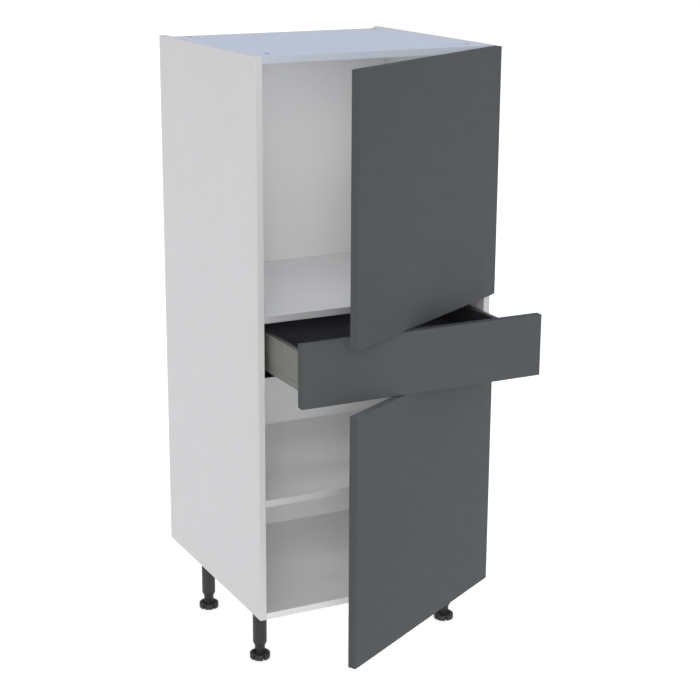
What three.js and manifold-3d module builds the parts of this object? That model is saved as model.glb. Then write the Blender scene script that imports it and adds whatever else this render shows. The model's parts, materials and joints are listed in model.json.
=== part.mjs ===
// Tall pantry cabinet: a white board carcass on four adjustable legs, two slab doors on concealed hinges,
// and a drawer with metal sides on full-extension runners between the doors.
//
// Millimetres. X runs from left to right seen from the front, Y from the front to the back, Z up.
// The sizes below are in the carcass frame: x = 0 in the middle of the width, y = 0 on the front edges of the
// carcass, z = 0 on its underside. The exported group moves that frame so that the origin lies on the floor.
// At rest both doors stand open by DOOR_OPEN and the drawer is pulled out by DRAWER_OUT.

import * as THREE from "three";
import { mergeVertices } from "three/addons/utils/BufferGeometryUtils.js";
import Module from "manifold-3d";

const wasm = await Module();
wasm.setup();

const rad = THREE.MathUtils.degToRad;

// ---------------------------------------------------------------- driving dimensions

const GAP = 0.3; // play between touching pieces that are cut or turned
const ORIGIN_Y = 127; // the origin lies this far behind the front edges of the carcass

// Carcass
const WIDTH = 600;
const DEPTH = 570;
const HEIGHT = 1300;
const BOARD = 16;
const INNER = WIDTH / 2 - BOARD; // inner face of a side panel
const DECK_DEPTH = 522; // top and bottom panels stop short of the rear: the space behind is for pipes
const BACK_FRONT = 506; // front face of the back panel
const BACK_THICK = 8;
const GROOVE_DEPTH = 8;
const GROOVE_PLAY = 0.25;
const FIXED_SHELF_TOP = 729;
const LOOSE_SHELF_TOP = 294;
const LOOSE_SHELF_PLAY = 1;

// Line-bored holes for the shelf pins
const PIN_R = 2.5;
const PIN_HOLE_DEPTH = 10;
const PIN_PITCH = 32;
const PIN_COLUMNS = [37, 469];
const PIN_STEPS = 3; // holes above and below the middle one
const PIN_SUPPORT = 3; // from the pin's axis up to the shelf
const LOWER_PIN_MIDDLE = LOOSE_SHELF_TOP - BOARD - PIN_SUPPORT;
const UPPER_PIN_MIDDLE = 1003;

// Cams in the top panel
const CAM_R = 7.5;
const CAM_DEPTH = 12.5;
const CAM_X = 250;
const CAM_COLUMNS = [51, 496];

// Legs
const LEG_HEIGHT = 147;
const LEG_X = 255.5;
const LEG_COLUMNS = { front: 104.5, rear: 426 };
const LEG_TURN = { front_left: 0, front_right: -13, rear_left: 8, rear_right: 21 }; // degrees
const SOCKET = { flangeR: 30, flange: 4, sleeveR: 20, sleeve: 20 };
const TUBE = { r: 16.9, bore: 12.7, top: -5, bottom: -105.5, tip: -112, tipR: 13.6, boreTop: -12 };
const FOOT = { r: 24.6, height: 14, recessR: 17, recess: 5, neckR: 9.5, topRound: 2.6, bottomRound: 1.6 };
const SHANK = { r: 12.3, top: -62, bottom: -123 };
const FOOT_SLOT = { count: 6, width: 4.6, depth: 8.1, height: 12 };

// Fronts
const FRONT_WIDTH = 597;
const FRONT_THICK = 19;
const FRONT_GAP = 3; // between a closed front and the carcass
const DOOR_HEIGHT = 576;
const LOWER_DOOR_Z = 1;
const DRAWER_FRONT_Z = 579;
const DRAWER_FRONT_HEIGHT = 142;
const UPPER_DOOR_Z = 723;
const DOOR_OPEN = 30;

// Concealed hinges, in a frame on the hinge axis with the door closed
const AXIS_INSET = 7.5; // from the door's hinged edge to the axis
const AXIS_DEPTH = 9.5; // from the door's inner face to the axis
const HINGE_X = FRONT_WIDTH / 2 - AXIS_INSET;
const HINGE_Y = -FRONT_GAP - AXIS_DEPTH;
const HINGE_FROM_END = 100; // cup centre to the end of the door
const CUP = { r: 17.5, bore: 12, wall: 1.6, inset: 22.5, notch: 3 };
const CUP_FLANGE = { thick: 1.1, halfWidth: 27, lip: 12, rim: 2 };
const ARM = { inner: 264, outer: 276, halfHeight: 7, sheet: 1.5, front: -9, back: 50 };
const PLATE = { base: 2, front: 14, back: 60, half: 9, rail: 12, railHalf: 4.7, railBack: 56 };
const WING = { half: 26, front: 28, back: 46 };
const LINK = { pivotX: -22, pivotY: 6, length: 17, halfHeight: 3.5, half: 1, eye: 2.5, closedAngle: 4.44 };
const LINK_RATIO = -0.358; // turn of a link for each degree of its door

// Drawer, closed position
const DRAWER_OUT = 200;
const CABINET_RUNNER = { bottom: 585, top: 650, front: 8, back: 488, plate: 2, foot: 34, lip: 7 };
const RUNNER_TRACK = { left: 254, right: 264, top: 594.3 }; // rib that carries the middle member
const MIDDLE_RUNNER = { front: 14, back: 464, left: 250.5, right: 267, top: 603, sheet: 1.4 };
const DRAWER_RUNNER = { front: 4, back: 460, left: 253.5, right: 264, bottom: 597, sheet: 1.4 };
const SIDE = { outer: 271, inner: 257.5, bottom: 597, top: 685.5, length: 488, sheet: 1.2, round: 1.5 };
const LEDGE = { top: 613.2, reach: 20 }; // the bottom board stands on it, and the runners lie below it
const SIDE_GROOVE = { middle: 614.8, half: 2, depth: 0.8 }; // line pressed into the outer wall
const BRACKET = { wall: 2, reach: 42, inset: 6, play: 0.6 };
const DRAWER_BOARD = 16;
const DRAWER_BACK_DROP = 2; // from the top of the sides down to the top of the back
const FLOOR_TOP = LEDGE.top + GAP + DRAWER_BOARD;

// ---------------------------------------------------------------- materials

function material(color, roughness, metalness = 0) {
  return new THREE.MeshStandardMaterial({ color, roughness, metalness });
}

const WHITE = material(0xcdcecf, 0.5);
const BACK_WHITE = material(0xc4c5c6, 0.55);
const FRONT_GREY = material(0x575b5e, 0.45);
const DRAWER_DARK = material(0x202125, 0.55);
const SIDE_METAL = material(0x767675, 0.35, 0.9);
const RUNNER_BLACK = material(0x141415, 0.4, 0.5);
const STEEL = material(0xb4b4b2, 0.3, 1);
const BLACK_PLASTIC = material(0x42423f, 0.5);
const CAM_GREY = material(0xa9b2bf, 0.4, 0.6);

// ---------------------------------------------------------------- shape helpers

function toSolid(geometry) {
  const bare = geometry.clone();
  bare.deleteAttribute("normal");
  bare.deleteAttribute("uv");
  const merged = mergeVertices(bare, 1e-4);
  const vertProperties = new Float32Array(merged.attributes.position.array);
  const triVerts = new Uint32Array(merged.index.array);
  return new wasm.Manifold(new wasm.Mesh({ numProp: 3, vertProperties, triVerts }));
}

function toGeometry(solid) {
  const { vertProperties, triVerts } = solid.getMesh();
  const geometry = new THREE.BufferGeometry();
  geometry.setAttribute("position", new THREE.BufferAttribute(vertProperties, 3));
  geometry.setIndex(new THREE.BufferAttribute(triVerts, 1));
  geometry.computeVertexNormals();
  return geometry;
}

// One solid from several that overlap
function join(...geometries) {
  return toGeometry(geometries.map(toSolid).reduce((whole, piece) => whole.add(piece)));
}

// A solid with tools taken out of it
function cut(geometry, tools) {
  return toGeometry(tools.map(toSolid).reduce((whole, tool) => whole.subtract(tool), toSolid(geometry)));
}

function box([x0, x1], [y0, y1], [z0, z1]) {
  const shape = new THREE.BoxGeometry(Math.abs(x1 - x0), Math.abs(y1 - y0), Math.abs(z1 - z0));
  return shape.translate((x0 + x1) / 2, (y0 + y1) / 2, (z0 + z1) / 2);
}

// A cylinder that stands on z0 and reaches z1
function post(r, z0, z1, segments = 20) {
  const shape = new THREE.CylinderGeometry(r, r, z1 - z0, segments).rotateX(Math.PI / 2);
  return shape.translate(0, 0, (z0 + z1) / 2);
}

// A solid of revolution about Z from [radius, z] points, listed upwards on the outside
function turned(points, segments = 24) {
  const outline = points.map(([r, z]) => new THREE.Vector2(r, z));
  return new THREE.LatheGeometry(outline, segments).rotateX(Math.PI / 2);
}

// An outline in X and Z, extruded along Y
function profile(points, y0, y1) {
  const outline = new THREE.Shape(points.map(([x, z]) => new THREE.Vector2(x, z)));
  const shape = new THREE.ExtrudeGeometry(outline, { depth: y1 - y0, bevelEnabled: false });
  return shape.rotateX(Math.PI / 2).translate(0, y1, 0);
}

// The same solid on the other side of x = 0
function mirrored(geometry) {
  const copy = geometry.clone().scale(-1, 1, 1);
  const indexed = copy.index ? copy : mergeVertices(copy);
  const flipped = Array.from(indexed.index.array);
  for (let i = 0; i < flipped.length; i += 3) {
    [flipped[i], flipped[i + 1]] = [flipped[i + 1], flipped[i]];
  }
  return indexed.setIndex(flipped);
}

function named(name, geometry, finish) {
  const mesh = new THREE.Mesh(geometry, finish);
  mesh.name = name;
  return mesh;
}

const SIDES = { left: -1, right: 1 };

// Adds the piece drawn on the right-hand side, and its mirror image on the left
function addPair(group, name, rightGeometry, finish) {
  group.add(named(`${name}_left`, mirrored(rightGeometry), finish));
  group.add(named(`${name}_right`, rightGeometry, finish));
}

// ---------------------------------------------------------------- carcass

function backGroove(x, z) {
  return box(x, [BACK_FRONT - GROOVE_PLAY, BACK_FRONT + BACK_THICK + GROOVE_PLAY], z);
}

function pinHole(y, z) {
  const segments = 8;
  const hole = new THREE.CylinderGeometry(PIN_R, PIN_R, PIN_HOLE_DEPTH + 1, segments).rotateZ(Math.PI / 2);
  return hole.translate(INNER + (PIN_HOLE_DEPTH - 1) / 2, y, z);
}

function pinHoles() {
  const holes = [];
  for (const middle of [LOWER_PIN_MIDDLE, UPPER_PIN_MIDDLE]) {
    for (let step = -PIN_STEPS; step <= PIN_STEPS; step += 1) {
      for (const y of PIN_COLUMNS) {
        holes.push(pinHole(y, middle + step * PIN_PITCH));
      }
    }
  }
  return holes;
}

function sidePanel() {
  const board = box([INNER, WIDTH / 2], [0, DEPTH], [0, HEIGHT]);
  const grooveEnd = BOARD - GROOVE_DEPTH - GROOVE_PLAY;
  const groove = backGroove([INNER - 1, INNER + GROOVE_DEPTH + GROOVE_PLAY], [grooveEnd, HEIGHT - grooveEnd]);
  return cut(board, [groove, ...pinHoles()]);
}

function bottomPanel() {
  const board = box([-INNER, INNER], [0, DECK_DEPTH], [0, BOARD]);
  return cut(board, [backGroove([-INNER - 1, INNER + 1], [BOARD - GROOVE_DEPTH - GROOVE_PLAY, BOARD + 1])]);
}

function topPanel() {
  const bores = [];
  for (const y of CAM_COLUMNS) {
    for (const side of Object.values(SIDES)) {
      bores.push(post(CAM_R, HEIGHT - CAM_DEPTH, HEIGHT + 1).translate(side * CAM_X, y, 0));
    }
  }
  const board = box([-INNER, INNER], [0, DECK_DEPTH], [HEIGHT - BOARD, HEIGHT]);
  const grooveTop = HEIGHT - BOARD + GROOVE_DEPTH + GROOVE_PLAY;
  return cut(board, [backGroove([-INNER - 1, INNER + 1], [HEIGHT - BOARD - 1, grooveTop]), ...bores]);
}

// A cam housing with its screwdriver cross, flush with the upper face
function cam() {
  const crossDepth = 1.5;
  const arm = 4.5;
  const half = 0.8;
  const body = post(CAM_R - GAP, HEIGHT - CAM_DEPTH + GAP, HEIGHT);
  const cross = [
    box([-arm, arm], [-half, half], [HEIGHT - crossDepth, HEIGHT + 1]),
    box([-half, half], [-arm, arm], [HEIGHT - crossDepth, HEIGHT + 1]),
  ];
  return cut(body, cross);
}

// A peg in the side panel with a flat arm under the shelf, on the right-hand side
function shelfPin() {
  const pegEnd = INNER + PIN_HOLE_DEPTH - 1;
  const pegStart = INNER - 4;
  const segments = 12;
  const pegR = PIN_R - GAP;
  const peg = new THREE.CylinderGeometry(pegR, pegR, pegEnd - pegStart, segments).rotateZ(Math.PI / 2);
  peg.translate((pegEnd + pegStart) / 2, 0, 0);
  const reach = 11;
  const halfArm = 5;
  const arm = box([INNER - reach, INNER - GAP], [-halfArm, halfArm], [-PIN_SUPPORT, PIN_SUPPORT - GAP]);
  return join(peg, arm);
}

function addCarcass(cabinet) {
  addPair(cabinet, "side_panel", sidePanel(), WHITE);
  cabinet.add(named("top_panel", topPanel(), WHITE));
  cabinet.add(named("bottom_panel", bottomPanel(), WHITE));
  const fixed = box([-INNER, INNER], [0, BACK_FRONT - GAP], [FIXED_SHELF_TOP - BOARD, FIXED_SHELF_TOP]);
  cabinet.add(named("fixed_shelf", fixed, WHITE));
  const halfShelf = INNER - LOOSE_SHELF_PLAY;
  const shelfDepth = [LOOSE_SHELF_PLAY, BACK_FRONT - LOOSE_SHELF_PLAY];
  const loose = box([-halfShelf, halfShelf], shelfDepth, [LOOSE_SHELF_TOP - BOARD, LOOSE_SHELF_TOP]);
  cabinet.add(named("adjustable_shelf", loose, WHITE));
  const backX = INNER + GROOVE_DEPTH;
  const backEnd = BOARD - GROOVE_DEPTH;
  const back = box([-backX, backX], [BACK_FRONT, BACK_FRONT + BACK_THICK], [backEnd, HEIGHT - backEnd]);
  cabinet.add(named("back_panel", back, BACK_WHITE));
  PIN_COLUMNS.forEach((y, i) => {
    const place = ["front", "rear"][i];
    addPair(cabinet, `shelf_pin_${place}`, shelfPin().translate(0, y, LOWER_PIN_MIDDLE), STEEL);
  });
  CAM_COLUMNS.forEach((y, i) => {
    const place = ["front", "rear"][i];
    addPair(cabinet, `top_cam_${place}`, cam().translate(CAM_X, y, 0), CAM_GREY);
  });
}

// ---------------------------------------------------------------- legs

// Flange and sleeve under the bottom panel, open below for the tube
function legSocket() {
  const bore = TUBE.r + GAP;
  const { flangeR, flange, sleeveR, sleeve } = SOCKET;
  const ceiling = TUBE.top + GAP;
  return turned([
    [0, ceiling],
    [bore, ceiling],
    [bore, -sleeve],
    [sleeveR, -sleeve],
    [sleeveR, -flange],
    [flangeR, -flange],
    [flangeR, 0],
    [0, 0],
  ]);
}

function legTube() {
  const { r, bore, top, bottom, tip, tipR, boreTop } = TUBE;
  return turned([
    [0, boreTop],
    [bore, boreTop],
    [bore, tip],
    [tipR, tip],
    [r, bottom],
    [r, top],
    [0, top],
  ]);
}

// A slotted disc with a recessed neck and the shank that screws into the tube
function legFoot() {
  const { r, height, recessR, recess, neckR, topRound, bottomRound } = FOOT;
  const floor = -LEG_HEIGHT;
  const rim = floor + height;
  const softened = 0.3; // share of a rounding left at the middle of its arc
  const lowArc = softened * bottomRound;
  const highArc = softened * topRound;
  const body = turned([
    [0, floor],
    [r - bottomRound, floor],
    [r - lowArc, floor + lowArc],
    [r, floor + bottomRound],
    [r, rim - topRound],
    [r - highArc, rim - highArc],
    [r - topRound, rim],
    [recessR, rim],
    [recessR, rim - recess],
    [neckR, rim - recess],
    [neckR, SHANK.bottom],
    [SHANK.r, SHANK.bottom],
    [SHANK.r, SHANK.top],
    [0, SHANK.top],
  ]);
  const slots = [];
  for (let i = 0; i < FOOT_SLOT.count; i += 1) {
    const half = FOOT_SLOT.width / 2;
    const slot = box([r - FOOT_SLOT.depth, r + 1], [-half, half], [floor - 1, floor + FOOT_SLOT.height]);
    slots.push(slot.rotateZ(rad(-90 + (360 / FOOT_SLOT.count) * i)));
  }
  return cut(body, slots);
}

function addLegs(cabinet) {
  for (const [place, y] of Object.entries(LEG_COLUMNS)) {
    for (const [hand, side] of Object.entries(SIDES)) {
      const corner = `${place}_${hand}`;
      const leg = new THREE.Group();
      leg.position.set(side * LEG_X, y, 0);
      const foot = legFoot().rotateZ(rad(LEG_TURN[corner]));
      leg.add(named(`leg_socket_${corner}`, legSocket(), BLACK_PLASTIC));
      leg.add(named(`leg_tube_${corner}`, legTube(), BLACK_PLASTIC));
      leg.add(named(`leg_foot_${corner}`, foot, BLACK_PLASTIC));
      cabinet.add(leg);
    }
  }
}

// ---------------------------------------------------------------- doors and hinges

const CUP_X = AXIS_INSET - CUP.inset; // cup centre from the hinge axis

// A disc whose axis runs along Y, from y0 to y1
function yDisc(r, x, y0, y1, z, segments = 24) {
  return new THREE.CylinderGeometry(r, r, y1 - y0, segments).translate(x, (y0 + y1) / 2, z);
}

// Slab door in the hinge frame, standing on z = 0
function door() {
  const faces = [AXIS_DEPTH - FRONT_THICK, AXIS_DEPTH];
  const panel = box([AXIS_INSET - FRONT_WIDTH, AXIS_INSET], faces, [0, DOOR_HEIGHT]);
  const heights = [HINGE_FROM_END, DOOR_HEIGHT - HINGE_FROM_END];
  return cut(panel, heights.map((z) => yDisc(CUP.r, CUP_X, AXIS_DEPTH - CUP.bore, AXIS_DEPTH + 1, z)));
}

// Cup with its flange on the door's inner face and a notch that lets the link out, centred on z = 0
function hingeCup() {
  const outer = CUP.r - GAP;
  const floor = AXIS_DEPTH - CUP.bore + GAP;
  const face = AXIS_DEPTH + GAP;
  const top = face + CUP_FLANGE.thick;
  const edge = CUP_X + outer + CUP_FLANGE.rim;
  const notchHalf = LINK.halfHeight + 1;
  const halfWidth = CUP_FLANGE.halfWidth;
  const flange = box([CUP_X - CUP_FLANGE.lip, edge], [face, top], [-halfWidth, halfWidth]);
  const shell = join(flange, yDisc(outer, CUP_X, floor, top, 0));
  const hollow = yDisc(outer - CUP.wall, CUP_X, floor + CUP.wall, top + 1, 0);
  const notch = box([CUP_X + outer / 2, edge + 1], [face - CUP.notch, top + 1], [-notchHalf, notchHalf]);
  return cut(shell, [hollow, notch]);
}

// Channel that reaches from the mounting plate into the closed cup
function hingeArm() {
  const { inner, outer, halfHeight, sheet, front, back } = ARM;
  const web = box([inner, inner + sheet], [front, back], [-halfHeight, halfHeight]);
  const upper = box([inner, outer], [front, back], [halfHeight - sheet, halfHeight]);
  const lower = box([inner, outer], [front, back], [-halfHeight, sheet - halfHeight]);
  return join(web, upper, lower);
}

// Winged plate on the side panel, with the rail that the arm straddles
function hingePlate() {
  const { base, front, back, half, rail, railHalf, railBack } = PLATE;
  const wings = box([INNER - base, INNER], [WING.front, WING.back], [-WING.half, WING.half]);
  const spine = box([INNER - base, INNER], [front, back], [-half, half]);
  return join(wings, spine, box([INNER - rail, INNER], [front, railBack], [-railHalf, railHalf]));
}

// Flat bar with an eye on the arm's pivot, along X from that pivot
function hingeLink() {
  const { length, halfHeight, half, eye } = LINK;
  const bar = box([0, length], [-half, half], [-halfHeight, halfHeight]);
  const boss = post(eye, -halfHeight, halfHeight, 16);
  const tip = post(half, -halfHeight, halfHeight, 12).translate(length, 0, 0);
  return join(bar, boss, tip);
}

function addDoor(cabinet, name, bottom) {
  const hinged = new THREE.Group();
  hinged.position.set(HINGE_X, HINGE_Y, bottom);
  hinged.rotation.z = rad(DOOR_OPEN);
  hinged.add(named(`${name}_door`, door(), FRONT_GREY));
  cabinet.add(hinged);
  const levels = { bottom: HINGE_FROM_END, top: DOOR_HEIGHT - HINGE_FROM_END };
  for (const [level, z] of Object.entries(levels)) {
    const place = `${name}_${level}`;
    hinged.add(named(`hinge_cup_${place}`, hingeCup().translate(0, 0, z), STEEL));
    const fixed = new THREE.Group();
    fixed.position.z = bottom + z;
    fixed.add(named(`hinge_arm_${place}`, hingeArm(), STEEL));
    fixed.add(named(`hinge_plate_${place}`, hingePlate(), STEEL));
    const link = named(`hinge_link_${place}`, hingeLink(), STEEL);
    link.position.set(HINGE_X + LINK.pivotX, HINGE_Y + LINK.pivotY, 0);
    link.rotation.z = rad(LINK.closedAngle + LINK_RATIO * DOOR_OPEN);
    fixed.add(link);
    cabinet.add(fixed);
  }
}

// ---------------------------------------------------------------- drawer

// Angle on the side panel with a track on its foot and a lip along the foot's edge, right-hand side
function cabinetRunner() {
  const { bottom, top, front, back, plate, foot, lip } = CABINET_RUNNER;
  const edge = INNER - foot;
  const outline = [
    [INNER, bottom],
    [INNER, top],
    [INNER - plate, top],
    [INNER - plate, bottom + plate],
    [RUNNER_TRACK.right, bottom + plate],
    [RUNNER_TRACK.right, RUNNER_TRACK.top],
    [RUNNER_TRACK.left, RUNNER_TRACK.top],
    [RUNNER_TRACK.left, bottom + plate],
    [edge + plate, bottom + plate],
    [edge + plate, bottom + lip],
    [edge, bottom + lip],
    [edge, bottom],
  ];
  return profile(outline, front, back);
}

// Channel on the track, open above
function middleRunner() {
  const { front, back, left, right, top, sheet } = MIDDLE_RUNNER;
  const low = RUNNER_TRACK.top + GAP;
  const outline = [
    [left, low],
    [right, low],
    [right, top],
    [right - sheet, top],
    [right - sheet, low + sheet],
    [left + sheet, low + sheet],
    [left + sheet, top],
    [left, top],
  ];
  return profile(outline, front, back);
}

// Inverted channel under the ledge of the drawer side, inside the middle member
function drawerRunner() {
  const { front, back, left, right, bottom, sheet } = DRAWER_RUNNER;
  const top = LEDGE.top - SIDE.sheet - GAP;
  const outline = [
    [left, bottom],
    [left + sheet, bottom],
    [left + sheet, top - sheet],
    [right - sheet, top - sheet],
    [right - sheet, bottom],
    [right, bottom],
    [right, top],
    [left, top],
  ];
  return profile(outline, front, back);
}

// Metal side: a box section, and below it the outer wall that hides the runners
function drawerSide() {
  const { outer, inner, bottom, top, length, sheet, round } = SIDE;
  const { middle, half, depth } = SIDE_GROOVE;
  const web = FLOOR_TOP + GAP;
  const pressed = outer - depth;
  const wall = pressed - sheet;
  const ceiling = top - sheet - round / 2;
  const outline = [
    [outer, bottom],
    [outer, middle - half],
    [pressed, middle - half / 2],
    [pressed, middle + half / 2],
    [outer, middle + half],
    [outer, top - round],
    [outer - round, top],
    [inner + round, top],
    [inner, top - round],
    [inner, web],
    [wall, web],
    [wall, LEDGE.top],
    [outer - LEDGE.reach, LEDGE.top],
    [outer - LEDGE.reach, LEDGE.top - sheet],
    [wall, LEDGE.top - sheet],
    [wall, bottom],
  ];
  const hollow = [
    [inner + sheet, web + sheet],
    [outer - sheet, web + sheet],
    [outer - sheet, ceiling],
    [inner + sheet, ceiling],
  ];
  return cut(profile(outline, -FRONT_GAP, length), [profile(hollow, -FRONT_GAP - 1, length + 1)]);
}

// Angle inside the mouth of a drawer side that holds the front
function frontBracket() {
  const { outer, inner, sheet, top } = SIDE;
  const { wall, reach, inset, play } = BRACKET;
  const right = outer - SIDE_GROOVE.depth - sheet - play;
  const left = inner + sheet + play;
  const z = [FLOOR_TOP + inset, top - inset];
  const flat = box([left, right], [-FRONT_GAP, -FRONT_GAP + wall], z);
  return join(flat, box([left, left + wall], [-FRONT_GAP, reach], z));
}

function addDrawer(cabinet) {
  const drawer = new THREE.Group();
  drawer.position.y = -DRAWER_OUT;
  const middle = new THREE.Group();
  middle.position.y = -DRAWER_OUT / 2;
  addPair(cabinet, "runner_cabinet", cabinetRunner(), RUNNER_BLACK);
  addPair(middle, "runner_middle", middleRunner(), STEEL);
  addPair(drawer, "runner_drawer", drawerRunner(), STEEL);
  addPair(drawer, "drawer_side", drawerSide(), SIDE_METAL);
  addPair(drawer, "drawer_bracket", frontBracket(), STEEL);
  const half = FRONT_WIDTH / 2;
  const frontY = [-FRONT_GAP - FRONT_THICK, -FRONT_GAP];
  const front = box([-half, half], frontY, [DRAWER_FRONT_Z, DRAWER_FRONT_Z + DRAWER_FRONT_HEIGHT]);
  drawer.add(named("drawer_front", front, FRONT_GREY));
  const floorX = SIDE.outer - SIDE_GROOVE.depth - SIDE.sheet - GAP;
  const floorZ = [FLOOR_TOP - DRAWER_BOARD, FLOOR_TOP];
  const floor = box([-floorX, floorX], [-FRONT_GAP + GAP, SIDE.length - GAP], floorZ);
  drawer.add(named("drawer_bottom", floor, DRAWER_DARK));
  const backX = SIDE.inner - GAP;
  const backZ = [FLOOR_TOP + GAP, SIDE.top - DRAWER_BACK_DROP];
  const back = box([-backX, backX], [SIDE.length - DRAWER_BOARD, SIDE.length], backZ);
  drawer.add(named("drawer_back", back, DRAWER_DARK));
  cabinet.add(middle);
  cabinet.add(drawer);
}

// ---------------------------------------------------------------- whole

const cabinet = new THREE.Group();
cabinet.position.set(0, -ORIGIN_Y, LEG_HEIGHT);
addCarcass(cabinet);
addLegs(cabinet);
addDoor(cabinet, "lower", LOWER_DOOR_Z);
addDoor(cabinet, "upper", UPPER_DOOR_Z);
addDrawer(cabinet);

const pantryCabinet = new THREE.Group();
pantryCabinet.add(cabinet);

export default pantryCabinet;
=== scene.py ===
"""Looks for the pantry cabinet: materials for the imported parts, detailed hardware in place of the plain
solids, and a pale studio round it.

Sizes of parts are in millimetres. Hardware of the carcass, drawer and runners is drawn in the carcass frame,
and hinges and legs in frames of their own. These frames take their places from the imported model. Lengths
inside a material are in metres.
"""

import json
import math

import bmesh
import bpy
from mathutils import Matrix, Vector


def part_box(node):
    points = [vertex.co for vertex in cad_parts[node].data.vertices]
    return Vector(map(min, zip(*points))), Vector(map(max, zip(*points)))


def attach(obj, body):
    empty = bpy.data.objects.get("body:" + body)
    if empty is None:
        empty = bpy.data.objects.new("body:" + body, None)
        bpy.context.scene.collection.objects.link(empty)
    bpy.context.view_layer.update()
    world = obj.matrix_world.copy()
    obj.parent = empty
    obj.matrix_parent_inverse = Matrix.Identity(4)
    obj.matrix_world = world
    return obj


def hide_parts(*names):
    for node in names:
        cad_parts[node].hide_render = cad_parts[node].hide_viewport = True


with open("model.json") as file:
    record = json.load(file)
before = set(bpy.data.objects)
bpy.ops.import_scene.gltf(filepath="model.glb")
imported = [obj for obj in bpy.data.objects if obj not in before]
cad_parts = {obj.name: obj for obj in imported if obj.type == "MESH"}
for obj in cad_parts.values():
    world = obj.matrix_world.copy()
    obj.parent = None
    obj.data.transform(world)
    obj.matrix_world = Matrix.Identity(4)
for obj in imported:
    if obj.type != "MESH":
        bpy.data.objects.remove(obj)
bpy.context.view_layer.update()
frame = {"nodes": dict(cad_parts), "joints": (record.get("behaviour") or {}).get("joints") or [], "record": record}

# ------------------------------------------------------------------ frames

MM = 0.001
JOINTS = {joint["name"]: joint for joint in frame["joints"]}
RATIOS = {row["joint"]: row["ratio"] for row in frame["record"]["behaviour"]["couplings"]}
SIDES = {"left": -1, "right": 1}
COLUMNS = ("front", "rear")
DOORS = ("lower", "upper")
LEVELS = ("bottom", "top")

DOOR_OPEN = -JOINTS["upper_door_hinge"]["range_deg"][0]
DRAWER_OUT = -JOINTS["drawer_slide"]["range_m"][0]
FRONT_EDGE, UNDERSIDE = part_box("side_panel_left")[0].yz


def frame_at(place, turn=0.0):
    """A frame in millimetres at a place in the row frame, turned by so many degrees about Z."""
    return Matrix.Translation(place) @ Matrix.Rotation(math.radians(turn), 4, "Z") @ Matrix.Scale(MM, 4)


def centre(node):
    low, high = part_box(node)
    return (low + high) / 2


# Carcass frame: x = 0 in the middle, y = 0 on the front edges, z = 0 on the underside
CARCASS = frame_at((0, FRONT_EDGE, UNDERSIDE))
DRAWER = Matrix.Translation((0, -DRAWER_OUT, 0)) @ CARCASS
MIDDLE = Matrix.Translation((0, -DRAWER_OUT / 2, 0)) @ CARCASS  # the middle runners go half as far


# ------------------------------------------------------------------ shader helper

NOISE_SPAN = (0.3, 0.7)  # most values of a noise lie in this span
FACE_SPAN = (0.7, 0.85)  # cosine of the turn at which a board's large face goes over into its edge


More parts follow.
